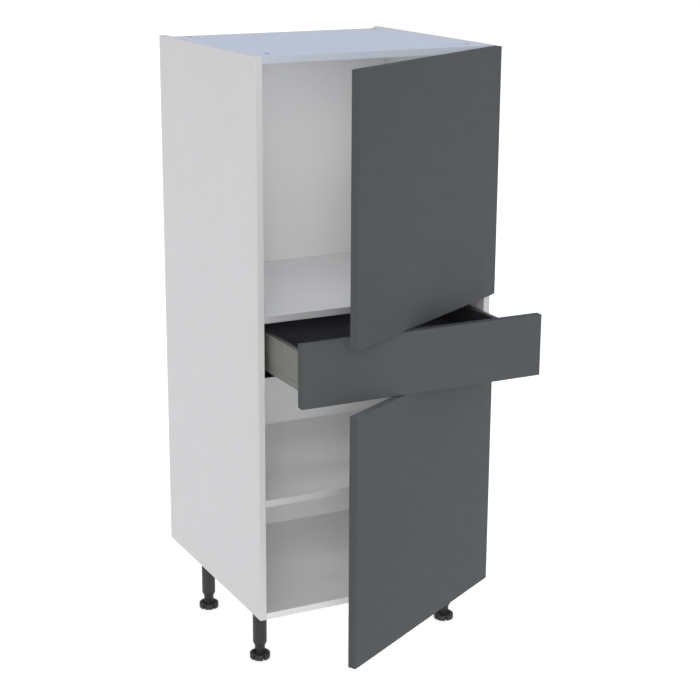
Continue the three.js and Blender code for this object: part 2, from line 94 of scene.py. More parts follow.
class Shader:
    """A material and short calls for the nodes that it is made of. Lengths in it are in metres."""

    def __init__(self, name, roughness, metallic=0.0, specular=0.5):
        self.material = bpy.data.materials.new(name)
        self.material.use_nodes = True
        self.nodes = self.material.node_tree.nodes
        self.links = self.material.node_tree.links
        self.bsdf = self.nodes["Principled BSDF"]
        self.bsdf.inputs["Roughness"].default_value = roughness
        self.bsdf.inputs["Metallic"].default_value = metallic
        self.bsdf.inputs["Specular IOR Level"].default_value = specular
        coordinates = self.nodes.new("ShaderNodeTexCoord")
        self.place = coordinates.outputs["Object"]
        self.normal = coordinates.outputs["Normal"]

    def put(self, value, socket):
        if isinstance(value, bpy.types.NodeSocket):
            self.links.new(value, socket)
        else:
            socket.default_value = value

    def put_colour(self, value, socket):
        self.put(value if isinstance(value, bpy.types.NodeSocket) else (*value, 1.0), socket)

    def math(self, operation, a, b=0.0):
        node = self.nodes.new("ShaderNodeMath")
        node.operation = operation
        self.put(a, node.inputs[0])
        self.put(b, node.inputs[1])
        return node.outputs[0]

    def stretched(self, scale):
        """Object coordinates with a scale for each axis."""
        node = self.nodes.new("ShaderNodeMapping")
        node.inputs["Scale"].default_value = scale
        self.links.new(self.place, node.inputs["Vector"])
        return node.outputs[0]

    def noise(self, scale, detail=2.0, where=None):
        """Noise with so many cells to a metre."""
        node = self.nodes.new("ShaderNodeTexNoise")
        node.inputs["Scale"].default_value = scale
        node.inputs["Detail"].default_value = detail
        self.links.new(where or self.place, node.inputs["Vector"])
        return node.outputs["Fac"]

    def ramp(self, value, low, high, out_low=0.0, out_high=1.0):
        """A value from low to high carried over to out_low to out_high, and held there outside that span."""
        node = self.nodes.new("ShaderNodeMapRange")
        for socket, number in zip(node.inputs[1:5], (low, high, out_low, out_high)):
            socket.default_value = number
        self.put(value, node.inputs[0])
        return node.outputs[0]

    def patches(self, scale, detail, out_low=0.0, out_high=1.0, span=NOISE_SPAN):
        """Noise spread over the whole of its output range."""
        return self.ramp(self.noise(scale, detail), *span, out_low, out_high)

    def blend(self, factor, a, b):
        node = self.nodes.new("ShaderNodeMix")
        node.data_type = "RGBA"
        self.put(factor, node.inputs[0])
        self.put_colour(a, node.inputs[6])
        self.put_colour(b, node.inputs[7])
        return node.outputs[2]

    def on_face(self, across):
        """1 on the two large faces of a board, whose thickness lies along across, and 0 on its edges."""
        dot = self.nodes.new("ShaderNodeVectorMath")
        dot.operation = "DOT_PRODUCT"
        self.links.new(self.normal, dot.inputs[0])
        dot.inputs[1].default_value = across
        return self.ramp(self.math("ABSOLUTE", dot.outputs["Value"]), *FACE_SPAN)

    def colour(self, value):
        self.put_colour(value, self.bsdf.inputs["Base Color"])

    def roughness(self, value):
        self.put(value, self.bsdf.inputs["Roughness"])

    def bump(self, height, distance, strength, over=None):
        """A relief of that height in metres, laid over an earlier one if there is one."""
        node = self.nodes.new("ShaderNodeBump")
        node.inputs["Strength"].default_value = strength
        node.inputs["Distance"].default_value = distance
        self.links.new(height, node.inputs["Height"])
        if over:
            self.links.new(over, node.inputs["Normal"])
        self.links.new(node.outputs[0], self.bsdf.inputs["Normal"])
        return node.outputs[0]


def shade(colour, factor):
    return tuple(channel * factor for channel in colour)


# ------------------------------------------------------------------ materials

WHITE = (0.765, 0.757, 0.762)
TOP_WHITE_PAINTED_COOL_LIGHT = (0.715, 0.768, 0.85)  # painted cool light: bluer than the other white boards
BACK_WHITE = (0.705, 0.703, 0.70)
CHIPBOARD = (0.36, 0.25, 0.14)
FRONT_GREY = (0.089, 0.0955, 0.1)
# The drawer board's dark grey is its own; its blue cast is painted cool light
DRAWER_DARK = (0.066, 0.067, 0.085)
SIDE_METAL = (0.205, 0.203, 0.188)
SIDE_DARK = (0.086, 0.083, 0.068)
# Painted shade: the inner wall of a drawer side, a darker copy of the dark finish on its top
SIDE_INSIDE_PAINTED_SHADE = (0.03, 0.03, 0.034)
# Painted shade: the cabinet runner is near black to stand for the shade in the gap beside the drawer
RUNNER_PAINTED_SHADE_BLACK = (0.006, 0.006, 0.0065)
ZINC = (0.56, 0.56, 0.55)
CAM_ZINC = (0.16, 0.18, 0.21)
BLACK_PLASTIC = (0.034, 0.0335, 0.0315)
DRAWER_FRONT_PAINTED_LIGHT = 1.12  # painted light: the drawer front is lighter than the doors of the same foil
# Tone of the upright and long edges against the faces: partly the edge band's own darker tone, partly painted
# shade and painted light set board by board, as on the fixed shelf's front edge darkened beside the doors and the
# bottom panel's edge made lighter
SIDE_EDGE_PAINTED_LIGHT = 1.02
DECK_EDGE_TONE_LIGHT_AND_SHADE = {"top_panel": 0.9, "bottom_panel": 1.22, "fixed_shelf": 0.74, "adjustable_shelf": 0.95}
DOOR_EDGE_TONE_AND_SHADE = 0.93
DRAWER_FRONT_EDGE_TONE_AND_SHADE = 0.6
# Painted light and shade on the upper and lower edges of the fronts: darker on the upper door, lighter on the
# lower door below the drawer
TOP_EDGE_LIGHT_AND_SHADE = {"upper_door": 0.55, "lower_door": 1.7, "drawer_front": 0.95}

SEAM_FROM_EDGE = 1.0 * MM  # thickness of the edge band
# Distances from the middle of the seam: all seam up to the first, and none from the second
SEAM_SPAN = (0.00004, 0.00014)
SEAM_TONE = 0.55
SEAM_MIX = 0.3
# Depths below the skin: no chipboard up to the first, and all chipboard from the second
CORE_SPAN = (0.00035, 0.0006)
CHIP_SPAN = (0.35, 0.65)


def melamine(name, colour, node, across, edge_tone_light_and_shade=1.0):
    """Melamine-faced board: pearl texture, a fine seam along the edge band, edges toned partly by the band and
    partly by painted shade and light, and chipboard where it is bored.
    """
    low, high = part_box(node)
    shader = Shader(name, 0.42)
    split = shader.nodes.new("ShaderNodeSeparateXYZ")
    shader.links.new(shader.place, split.inputs[0])
    depth = []
    for axis in range(3):
        below = shader.math("SUBTRACT", split.outputs[axis], low[axis])
        above = shader.math("SUBTRACT", high[axis], split.outputs[axis])
        depth.append(shader.math("MINIMUM", below, above))
    flat = [depth[axis] for axis in range(3) if not across[axis]]
    from_edge = shader.math("MINIMUM", *flat)
    inside = shader.math("MINIMUM", from_edge, depth[across.index(1)])
    core = shader.ramp(inside, *CORE_SPAN)
    on_face = shader.on_face(across)
    off_seam = shader.math("ABSOLUTE", shader.math("SUBTRACT", from_edge, SEAM_FROM_EDGE))
    seam = shader.math("MULTIPLY", on_face, shader.ramp(off_seam, *SEAM_SPAN, 1.0, 0.0))
    face = shader.blend(shader.patches(9.0, 3.0), shade(colour, 0.985), shade(colour, 1.01))
    face = shader.blend(shader.math("MULTIPLY", seam, SEAM_MIX), face, shade(colour, SEAM_TONE))
    # the edges take their own tone, partly the edge band's and partly painted shade and light
    face = shader.blend(on_face, shade(colour, edge_tone_light_and_shade), face)
    chips = shader.patches(900.0, 3.0, span=CHIP_SPAN)
    raw = shader.blend(chips, shade(CHIPBOARD, 0.55), shade(CHIPBOARD, 1.25))
    shader.colour(shader.blend(core, face, raw))
    shader.roughness(shader.patches(60.0, 3.0, 0.38, 0.46))
    pearl = shader.bump(shader.noise(1400.0, 1.0), 0.00003, 0.35)
    shader.bump(shader.math("MULTIPLY", chips, core), 0.0003, 0.8, over=pearl)
    return shader.material


def front_finish(name, colour, across, edge_tone_light_and_shade, top_edge_light_and_shade):
    """Matt foil on the fronts: even, with the slightest orange peel. Its upright edges are darker, partly the edge
    band's own tone and partly painted shade, and its top and bottom edges carry painted light and shade of their
    own.
    """
    shader = Shader(name, 0.5, 0.0, 0.12)
    face = shader.blend(shader.patches(6.0, 3.0), shade(colour, 0.98), shade(colour, 1.02))
    # painted light and shade on the top and bottom edges
    edge = shader.blend(shader.on_face((0, 0, 1)), shade(colour, edge_tone_light_and_shade), shade(colour, top_edge_light_and_shade))
    shader.colour(shader.blend(shader.on_face(across), edge, face))
    shader.roughness(shader.patches(40.0, 2.0, 0.46, 0.54))
    peel = shader.bump(shader.noise(260.0, 1.0), 0.00003, 0.2)
    shader.bump(shader.noise(2600.0, 1.0), 0.00001, 0.3, over=peel)
    return shader.material


def coated_metal(name, colour, roughness, peel=0.25, specular=0.5):
    """Powder-coated or coil-coated sheet: fine grain and a little haze."""
    shader = Shader(name, roughness, 0.0, specular)
    shader.colour(shader.blend(shader.patches(35.0, 3.0), shade(colour, 0.94), shade(colour, 1.05)))
    shader.roughness(shader.patches(120.0, 2.0, roughness * 0.9, roughness * 1.15))
    shader.bump(shader.noise(1800.0, 2.0), 0.00002, peel)
    return shader.material


def plated_steel(name, colour, roughness):
    """Zinc or nickel plating: bright, with faint drawing lines and a mottled haze."""
    shader = Shader(name, roughness, 1.0)
    mottle = shader.patches(140.0, 4.0, span=(0.35, 0.7))
    shader.colour(shader.blend(mottle, shade(colour, 0.86), shade(colour, 1.08)))
    shader.roughness(shader.patches(70.0, 3.0, roughness * 0.8, roughness * 1.3))
    lines = shader.noise(1.0, 2.0, where=shader.stretched((2600.0, 160.0, 2600.0)))
    shader.bump(lines, 0.00002, 0.25)
    return shader.material


def moulded_plastic(name, colour, roughness):
    """Moulded plastic with the fine spark-eroded grain of the tool."""
    shader = Shader(name, roughness, 0.0, 0.3)
    shader.colour(shader.blend(shader.patches(45.0, 3.0), shade(colour, 0.9), shade(colour, 1.1)))
    shader.roughness(shader.patches(90.0, 2.0, roughness * 0.88, roughness * 1.12))
    shader.bump(shader.noise(2400.0, 2.0), 0.00004, 0.4)
    return shader.material


side_metal = coated_metal("side_metal", SIDE_METAL, 0.35, 0.1, 0.1)
side_dark = coated_metal("side_dark", SIDE_DARK, 0.4)
side_inside_painted_shade = coated_metal("side_inside_painted_shade", SIDE_INSIDE_PAINTED_SHADE, 0.4)
runner_black = coated_metal("runner_black", RUNNER_PAINTED_SHADE_BLACK, 0.4)
zinc = plated_steel("zinc", ZINC, 0.26)
cam_zinc = plated_steel("cam_zinc", CAM_ZINC, 0.5)
black_plastic = moulded_plastic("black_plastic", BLACK_PLASTIC, 0.46)

# ------------------------------------------------------------------ mesh helpers

AXES = {"X": (1, 2, 0), "Y": (0, 2, 1), "Z": (0, 1, 2)}  # where an outline's two coordinates and its depth go
MOST_CUT = 0.49  # a rounded corner takes at most this share of a side
LEAST_CUT = 1e-6
WELD_DISTANCE = 1e-4  # mm between corners that a boolean leaves and that are one point
SOFTEN_SEGMENTS = 2
SOFTEN_PROFILE = 0.6
SHARP_ANGLE = math.radians(32)  # edges that turn more than this are shaded sharp


def rounded(points, radius, steps=4):
    """A closed outline with its corners rounded. A point with a third number has that radius instead."""
    outline = []
    for i, point in enumerate(points):
        r = point[2] if len(point) > 2 else radius
        here = Vector(point[:2])
        back = Vector(points[i - 1][:2]) - here
        ahead = Vector(points[(i + 1) % len(points)][:2]) - here
        half = back.angle(ahead) / 2
        cut = min(r / math.tan(half), MOST_CUT * back.length, MOST_CUT * ahead.length)
        if r <= 0 or cut < LEAST_CUT:
            outline.append(here[:])
            continue
        r = cut * math.tan(half)
        middle = here + (back.normalized() + ahead.normalized()).normalized() * (r / math.sin(half))
        start = here + back.normalized() * cut - middle
        end = here + ahead.normalized() * cut - middle
        turn = start.angle_signed(end)
        for step in range(steps + 1):
            outline.append((middle + Matrix.Rotation(-turn * step / steps, 2) @ start)[:])
    return outline


def rectangle(x0, x1, y0, y1, radius=0.0, steps=4):
    return rounded([(x0, y0), (x1, y0), (x1, y1), (x0, y1)], radius, steps)


def extruded(outline, start, end, axis="Z"):
    """A closed outline drawn out along an axis."""
    bm = bmesh.new()
    u, v, w = AXES[axis]
    rows = []
    for depth in (start, end):
        row = []
        for a, b in outline:
            place = [0.0, 0.0, 0.0]
            place[u], place[v], place[w] = a, b, depth
            row.append(bm.verts.new(place))
        rows.append(row)
    count = len(outline)
    for i in range(count):
        j = (i + 1) % count
        bm.faces.new((rows[0][i], rows[0][j], rows[1][j], rows[1][i]))
    bm.faces.new(rows[0])
    bm.faces.new(rows[1])
    bmesh.ops.recalc_face_normals(bm, faces=bm.faces)
    return bm


def box(x, y, z):
    return extruded(rectangle(*x, *y), *z)


def turned(profile, segments=48, axis="Z", at=(0, 0, 0)):
    """A solid of revolution from (radius, height) points that start and end on the axis."""
    bm = bmesh.new()
    u, v, w = AXES[axis]
    rows = []
    for r, h in profile:
        row = []
        for i in range(1 if r == 0 else segments):
            a = 2 * math.pi * i / segments
            place = [0.0, 0.0, 0.0]
            place[u], place[v], place[w] = r * math.cos(a), r * math.sin(a), h
            row.append(bm.verts.new(Vector(place) + Vector(at)))
        rows.append(row)
    for one, two in zip(rows, rows[1:]):
        for i in range(segments):
            j = (i + 1) % segments
            ring = [one[i % len(one)], one[j % len(one)], two[j % len(two)], two[i % len(two)]]
            ring = [vert for n, vert in enumerate(ring) if vert not in ring[:n]]
            bm.faces.new(ring)
    bmesh.ops.recalc_face_normals(bm, faces=bm.faces)
    return bm


def moved(bm, matrix):
    bm.transform(matrix)
    if matrix.determinant() < 0:
        bmesh.ops.reverse_faces(bm, faces=bm.faces)
    return bm


def shifted(bm, x=0.0, y=0.0, z=0.0):
    return moved(bm, Matrix.Translation((x, y, z)))


def spun(bm, degrees, axis="Z"):
    return moved(bm, Matrix.Rotation(math.radians(degrees), 4, axis))


def mirrored(bm):
    return moved(bm, Matrix.Scale(-1, 4, (1, 0, 0)))


def handed(bm, sign):
    """A part drawn for the right-hand side, or its mirror image for the left."""
    return bm if sign > 0 else mirrored(bm)


def soften(bm, width, limit=40.0):
    """Rounds the edges where the faces turn by more than limit, in degrees."""
    angle = math.radians(limit)
    bmesh.ops.bevel(
        bm,
        geom=[edge for edge in bm.edges if len(edge.link_faces) == 2 and edge.calc_face_angle() > angle],
        offset=width,
        segments=SOFTEN_SEGMENTS,
        profile=SOFTEN_PROFILE,
        affect="EDGES",
        clamp_overlap=True,
    )
    return bm


def as_object(bm, name="scratch"):
    mesh = bpy.data.meshes.new(name)
    bm.to_mesh(mesh)
    bm.free()
    obj = bpy.data.objects.new(name, mesh)
    bpy.context.scene.collection.objects.link(obj)
    return obj


def solved(bm, operation, tools):
    """bm after a boolean with each tool. The tools are used up."""
    obj = as_object(bm)
    cutters = [as_object(tool) for tool in tools]
    for cutter in cutters:
        modifier = obj.modifiers.new("boolean", "BOOLEAN")
        modifier.operation = operation
        modifier.solver = "EXACT"
        modifier.object = cutter
    bpy.context.view_layer.update()
    result = bmesh.new()
    shown = obj.evaluated_get(bpy.context.evaluated_depsgraph_get())
    result.from_mesh(shown.data)
    for scratch in [obj, *cutters]:
        bpy.data.objects.remove(scratch)
    bmesh.ops.remove_doubles(result, verts=result.verts, dist=WELD_DISTANCE)
    return result


def cut(bm, *tools):
    return solved(bm, "DIFFERENCE", tools)


def join(bm, *more):
    return solved(bm, "UNION", more)


def together(*parts):
    """Several solids in one mesh, left as they are."""
    whole = bmesh.new()
    for part in parts:
        scratch = bpy.data.meshes.new("scratch")
        part.to_mesh(scratch)
        part.free()
        whole.from_mesh(scratch)
        bpy.data.meshes.remove(scratch)
    return whole


def set_shading(mesh):
    """Smooth shading, with a sharp edge wherever the surface turns by more than SHARP_ANGLE."""
    bm = bmesh.new()
    bm.from_mesh(mesh)
    for face in bm.faces:
        face.smooth = True
    for edge in bm.edges:
        edge.smooth = len(edge.link_faces) == 2 and edge.calc_face_angle() < SHARP_ANGLE
    bm.to_mesh(mesh)
    bm.free()


def piece(name, bm, place, body, slot, *materials, stands_for=()):
    """A finished piece: its solid in the row frame, materials, body and the nodes that it stands for."""
    obj = as_object(moved(bm, place), name)
    for material in materials:
        obj.data.materials.append(material)
    set_shading(obj.data)
    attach(obj, body)
    if stands_for:
        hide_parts(*stands_for)
    return obj


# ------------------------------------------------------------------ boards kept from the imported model

EDGE_RADIUS = 0.6
BACK_RADIUS = 0.2
FRONT_RADIUS = 1.0
FRONT_SEGMENTS = 3
PACKED_WELD = 0.00001  # metres between corners of neighbouring triangles that are one point
BEVEL_ANGLE = math.radians(50)


def dress(node, material, radius, segments=2):
    """Keeps a packed board and gives it its material and softly rounded edges."""
    obj = frame["nodes"][node]
    obj.data.materials.clear()
    obj.data.materials.append(material)
    for polygon in obj.data.polygons:
        polygon.use_smooth = True
    if "custom_normal" in obj.data.attributes:
        obj.data.attributes.remove(obj.data.attributes["custom_normal"])
    weld = obj.modifiers.new("weld", "WELD")
    weld.merge_threshold = PACKED_WELD
    bevel = obj.modifiers.new("edges", "BEVEL")
    bevel.width = radius * MM
    bevel.segments = segments
    bevel.limit_method = "ANGLE"
    bevel.angle_limit = BEVEL_ANGLE
    bevel.harden_normals = True


def dress_boards():
    # Edge tones of boards and fronts are partly the edge band's own and partly painted shade and light
    for side in SIDES:
        node = f"side_panel_{side}"
        dress(node, melamine(f"melamine_{node}", WHITE, node, (1, 0, 0), SIDE_EDGE_PAINTED_LIGHT), EDGE_RADIUS)
    for node, edge_tone_light_and_shade in DECK_EDGE_TONE_LIGHT_AND_SHADE.items():
        # the top panel takes the white with painted cool light in it
        colour = TOP_WHITE_PAINTED_COOL_LIGHT if node == "top_panel" else WHITE
        dress(node, melamine(f"melamine_{node}", colour, node, (0, 0, 1), edge_tone_light_and_shade), EDGE_RADIUS)
    dress("back_panel", melamine("melamine_back", BACK_WHITE, "back_panel", (0, 1, 0)), BACK_RADIUS)
    for node, across in (("drawer_bottom", (0, 0, 1)), ("drawer_back", (0, 1, 0))):
        dress(node, melamine(f"melamine_{node}", DRAWER_DARK, node, across), EDGE_RADIUS)
    open_turn = math.radians(DOOR_OPEN)
    for node, turn, colour, edge_tone_light_and_shade in (
        ("upper_door", open_turn, FRONT_GREY, DOOR_EDGE_TONE_AND_SHADE),
        ("lower_door", open_turn, FRONT_GREY, DOOR_EDGE_TONE_AND_SHADE),
        # the drawer front's foil is lifted by painted light
        ("drawer_front", 0, shade(FRONT_GREY, DRAWER_FRONT_PAINTED_LIGHT), DRAWER_FRONT_EDGE_TONE_AND_SHADE),
    ):
        across = (math.sin(turn), -math.cos(turn), 0)
        foil = front_finish(f"{node}_foil", colour, across, edge_tone_light_and_shade, TOP_EDGE_LIGHT_AND_SHADE[node])
        dress(node, foil, FRONT_RADIUS, FRONT_SEGMENTS)


# ------------------------------------------------------------------ fasteners


def crossed(reach, width, depth, top):
    """Two crossed bars that cut a driver recess into a head whose top is at z = top."""
    along, across, down = (-reach, reach), (-width / 2, width / 2), (top - depth, top + 1)
    return box(along, across, down), box(across, along, down)


def screw(r, dome):
    """A pan head with a cross recess, its underside on z = 0."""
    head = turned([(0, 0), (r, 0), (r, dome * 0.35), (r * 0.8, dome * 0.82), (r * 0.4, dome), (0, dome)], 28)
    return soften(cut(head, *crossed(r * 0.52, r * 0.2, dome * 0.75, dome)), 0.06)


def screw_at(r, dome, turn, axis, place):
    """A screw head turned by so many degrees about an axis and put in its place."""
    return shifted(spun(screw(r, dome), turn, axis), *place)


# ------------------------------------------------------------------ cams and shelf pins

CARCASS_TOP = 1300
INNER = 284  # inner face of a side panel
CAM_R = 7.2
CAM_DEPTH = 6
CAM_FACE = -0.7  # sunk face, below the rim's level
CAM_TURN = 17  # degrees
PIN_TOP = 2.6  # from the pin's axis up to the top of its support


def cam():
    """Zinc cam seen end on: a chamfered rim, a sunk face and a cross recess. Its level is z = 0."""
    body = turned([
        (0, -CAM_DEPTH),
        (CAM_R, -CAM_DEPTH),
        (CAM_R, -0.9),
        (CAM_R - 0.5, -0.35),
        (CAM_R - 1.3, -0.35),
        (CAM_R - 1.7, CAM_FACE),
        (0, CAM_FACE),
    ], 48)
    return soften(cut(body, *crossed(4.2, 1.5, 1.6, CAM_FACE)), 0.12)


def add_cams():
    for side, sign in SIDES.items():
        for column in COLUMNS:
            node = f"top_cam_{column}_{side}"
            at = CARCASS.inverted() @ centre(node)
            here = shifted(spun(cam(), CAM_TURN * sign), at.x, at.y, CARCASS_TOP)
            piece(f"{node}_detail", here, CARCASS, "carcass", "cam_metal", cam_zinc, stands_for=[node])


def shelf_pin():
    """Nickel-plated pin: a collared peg, and a spoon-shaped support on a rib. Its axis is at y = z = 0."""
    peg = spun(turned([
        (0, 8.6),
        (1.7, 8.6),
        (2.15, 7.9),
        (2.15, 0.2),
        (3.4, 0.2),
        (3.4, -1.0),
        (2.4, -1.3),
        (0, -1.3),
    ], 28), 90, "Y")
    spoon = rounded([(-10.7, -4.6, 3.5), (-1.0, -4.6), (-1.0, 4.6), (-10.7, 4.6, 3.5)], 0.8, 6)
    rib = rounded([(-9.5, 1.8), (-1.0, 1.8), (-1.0, -2.8)], 0.5)
    parts = ((peg, 0.12), (extruded(spoon, 1.5, PIN_TOP), 0.3), (extruded(rib, -0.8, 0.8, "Y"), 0.2))
    return together(*(soften(shifted(part, INNER), width) for part, width in parts))


def add_shelf_pins():
    for side, sign in SIDES.items():
        for column in COLUMNS:
            node = f"shelf_pin_{column}_{side}"
            at = CARCASS.inverted() @ centre(node)
            top = (CARCASS.inverted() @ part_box(node)[1]).z
            pin = shifted(handed(shelf_pin(), sign), 0, at.y, top - PIN_TOP)
            piece(f"{node}_detail", pin, CARCASS, "carcass", "steel", zinc, stands_for=[node])


# ------------------------------------------------------------------ legs

LEG = 147  # from the underside of the carcass down to the floor
SOCKET_R = 30
SLEEVE_R = 20
SLEEVE_END = -20
FLANGE = -4
GUSSETS = 8
SOCKET_SCREWS = 4
TUBE_R = 16.9
TUBE_BORE = 12.7
TUBE_TOP = -5
TUBE_END = -112
FOOT_R = 24.6
FOOT_HEIGHT = 14
FOOT_RECESS = 5
NECK_R = 9.5
SHANK_TOP = -62
FOOT_SLOTS = 6
LEG_TURN = {"front_left": 0, "front_right": -13, "rear_left": 8, "rear_right": 21}  # degrees


def leg_socket():
    """Flange under the bottom panel with its gussets, and the sleeve that holds the tube."""
    bore = TUBE_R + 0.3
    body = turned([
        (0, -4.7),
        (bore, -4.7),
        (bore, -19.2),
        (bore + 0.6, SLEEVE_END),
        (SLEEVE_R - 0.6, SLEEVE_END),
        (SLEEVE_R, -19.2),
        (SLEEVE_R, -5),
        (SLEEVE_R + 0.9, FLANGE),
        (SOCKET_R - 0.8, FLANGE),
        (SOCKET_R, -3.2),
        (SOCKET_R, 0),
        (0, 0),
    ], 72)
    foot_of_gusset, tip_of_gusset = SLEEVE_R - 0.5, SOCKET_R - 2
    outline = [(foot_of_gusset, -3.9), (tip_of_gusset, -3.9), (foot_of_gusset, -15)]
    step = 360 / GUSSETS
    gussets = [
        spun(soften(extruded(outline, -0.9, 0.9, "Y"), 0.25), step / 2 + step * i) for i in range(GUSSETS)
    ]
    return together(body, *gussets)


def socket_screws():
    step = 360 / SOCKET_SCREWS
    return together(*(
        spun(screw_at(3.4, 1.6, 180, "X", (25.2, 0, FLANGE)), step / 2 + step * i)
        for i in range(SOCKET_SCREWS)
    ))


def leg_tube():
    """Hollow leg with a tapered, rounded lower end."""
    return turned([
        (0, -12),
        (TUBE_BORE, -12),
        (TUBE_BORE, -111.2),
        (TUBE_BORE + 0.3, TUBE_END),
        (13.3, TUBE_END),
        (13.8, -111.6),
        (16.5, -106.3),
        (TUBE_R, -105),
        (TUBE_R, -5.6),
        (TUBE_R - 0.6, TUBE_TOP),
        (0, TUBE_TOP),
    ], 96)


def leg_foot():
    """Slotted disc, its sunk ring round the neck, and the shank."""
    rim = FOOT_HEIGHT - LEG
    recess = rim - FOOT_RECESS
    body = turned([
        (0, -LEG),
        (FOOT_R - 1.8, -LEG),
        (FOOT_R - 0.9, 0.25 - LEG),
        (FOOT_R - 0.25, 0.9 - LEG),
        (FOOT_R, 1.9 - LEG),
        (FOOT_R, rim - 2.6),
        (FOOT_R - 0.35, rim - 1.3),
        (FOOT_R - 1.3, rim - 0.35),
        (FOOT_R - 2.6, rim),
        (17.8, rim),
        (17, rim - 0.8),
        (17, recess),
        (NECK_R, recess),
        (NECK_R, -124.6),
        (10.2, -123.4),
        (11.9, -123.1),
        (12.3, -122.4),
        (12.3, -62.6),
        (11.7, SHANK_TOP),
        (0, SHANK_TOP),
    ], 96)
    reach, width, height = (FOOT_R - 8.1, FOOT_R + 1), (-2.3, 2.3), (-LEG - 1, -LEG + 12)
    slots = [spun(box(reach, width, height), -90 + 360 / FOOT_SLOTS * i) for i in range(FOOT_SLOTS)]
    return soften(cut(body, *slots), 0.35, 50)


def add_legs():
    for side in SIDES:
        for column in COLUMNS:
            name = f"{column}_{side}"
            at = CARCASS.inverted() @ centre(f"leg_tube_{name}")
            here = CARCASS @ Matrix.Translation((at.x, at.y, 0))
            for kind, part, body in (
                ("socket", leg_socket(), "carcass"),
                ("tube", leg_tube(), "carcass"),
                ("foot", spun(leg_foot(), LEG_TURN[name]), f"foot_{name}"),
            ):
                node = f"leg_{kind}_{name}"
                piece(f"{node}_detail", part, here, body, "black_plastic", black_plastic, stands_for=[node])
            piece(f"leg_screws_{name}", socket_screws(), here, "carcass", "steel", zinc)


# ------------------------------------------------------------------ hinges

CUP_R = 17.2
CUP_X = -15
CUP_FACE = 9.8  # where the flange meets the door, from the hinge axis
CUP_TOP = CUP_FACE + 1.1
CUP_FLOOR = -2.2
CUP_WALL = 1.6
CUP_SCREWS_Z = (-21.5, 21.5)
ARM_WEB = 264
ARM_EDGE = 276
ARM_SLOTS = ((8, 16, 1.6), (20, 27, 2.8), (33, 45, 2.4))  # front end, rear end and half width
ARM_SCREWS = ((23.5, 3.3), (39.0, 3.6))  # place along the arm and radius
PIVOT = (269, -6.5, 0)  # pin that the link turns on
PLATE_BASE = (282, 284)
PLATE_RAIL = (272, 283)
PLATE_SCREWS_Z = (-16, 16)
LINK_HALF_HEIGHT = 3.5
LINK_CLOSED = 4.44  # degrees between the link and +X with the door closed


def hinge_cup():
    """Pressed cup with its flange, in the hinge frame of the closed door, centred on z = 0."""
    at = (CUP_X, 0, 0)
    half = [(CUP_X + 19, 9, 4), (CUP_X + 12, 15, 5), (CUP_X + 2, 26.8, 6), (CUP_X - 11.8, 26.8, 6)]
    flange = rounded([(x, -z, r) for x, z, r in reversed(half)] + half, 3, 6)
    plate = extruded(flange, CUP_FACE, CUP_TOP, "Y")
    bowl = turned([
        (0, CUP_FLOOR),
        (CUP_R - 1.5, CUP_FLOOR),
        (CUP_R - 0.4, CUP_FLOOR + 0.4),
        (CUP_R, CUP_FLOOR + 1.5),
        (CUP_R, CUP_TOP),
        (0, CUP_TOP),
    ], 64, "Y", at)
    hollow = turned([
        (0, CUP_FLOOR + CUP_WALL),
        (CUP_R - 3, CUP_FLOOR + CUP_WALL),
        (CUP_R - CUP_WALL, CUP_FLOOR + 3),
        (CUP_R - CUP_WALL, CUP_TOP + 1),
        (0, CUP_TOP + 1),
    ], 64, "Y", at)
    notch = box((CUP_X + 9, CUP_X + 21), (CUP_FACE - 2.8, CUP_TOP + 1), (-4.5, 4.5))
    return soften(cut(join(plate, bowl), hollow, notch), 0.2, 50)


def cup_screws():
    return together(*(screw_at(3.6, 0.8, -90, "X", (CUP_X - 5, CUP_FACE + 1.0, z)) for z in CUP_SCREWS_Z))


def hinge_arm():
    """Folded channel with a stepped nose and slots in its web, in the carcass frame."""
    outline = rounded([
        (ARM_WEB, -7, 1.5),
        (ARM_WEB, 7, 1.5),
        (ARM_EDGE, 7, 0.4),
        (ARM_EDGE, 5.5, 0.4),
        (ARM_WEB + 1.5, 5.5, 0.5),
        (ARM_WEB + 1.5, -5.5, 0.5),
        (ARM_EDGE, -5.5, 0.4),
        (ARM_EDGE, -7, 0.4),
    ], 0.3, 4)
    channel = extruded(outline, -9, 50, "Y")
    slots = [
        extruded(rectangle(front, rear, -half, half, half * 0.98, 6), ARM_WEB - 2, ARM_WEB + 2.5, "X")
        for front, rear, half in ARM_SLOTS
    ]
    heel = extruded(rounded([(ARM_WEB - 2, -11), (ARM_WEB + 5, -11), (ARM_WEB - 2, -2)], 0.5), -9, 9, "Z")
    return soften(cut(channel, *slots, heel), 0.18, 50)


def arm_fittings():
    """Adjusting screws in the arm's web and the pivot pin across its nose."""
    parts = [screw_at(r, 1.2, -90, "Y", (ARM_WEB + 2.2, y, 0)) for y, r in ARM_SCREWS]
    pin = turned([(0, -7.4), (1.1, -7.4), (1.3, -7.1), (1.3, 7.1), (1.1, 7.4), (0, 7.4)], 20)
    return together(*parts, shifted(pin, *PIVOT))


def hinge_plate():
    """Cross-shaped mounting plate on the side panel, with its rail."""
    half = [(46, -26, 8), (46, -9, 3), (60, -9, 4), (60, 9, 4), (46, 9, 3), (46, 26, 8)]
    front = [(28, 26, 8), (28, 9, 3), (14, 9, 2), (14, -9, 2), (28, -9, 3)]
    plate = extruded(rounded([(28, -26, 8), *half, *front], 2, 6), *PLATE_BASE, "X")
    rail = rounded([(14, -4.7, 1), (56, -4.7, 2.5), (56, 4.7, 2.5), (14, 4.7, 1)], 1, 5)
    return soften(join(plate, extruded(rail, *PLATE_RAIL, "X")), 0.25, 50)


def plate_screws():
    return together(*(screw_at(4.2, 1.3, -90, "Y", (PLATE_BASE[0] + 0.2, 37, z)) for z in PLATE_SCREWS_Z))


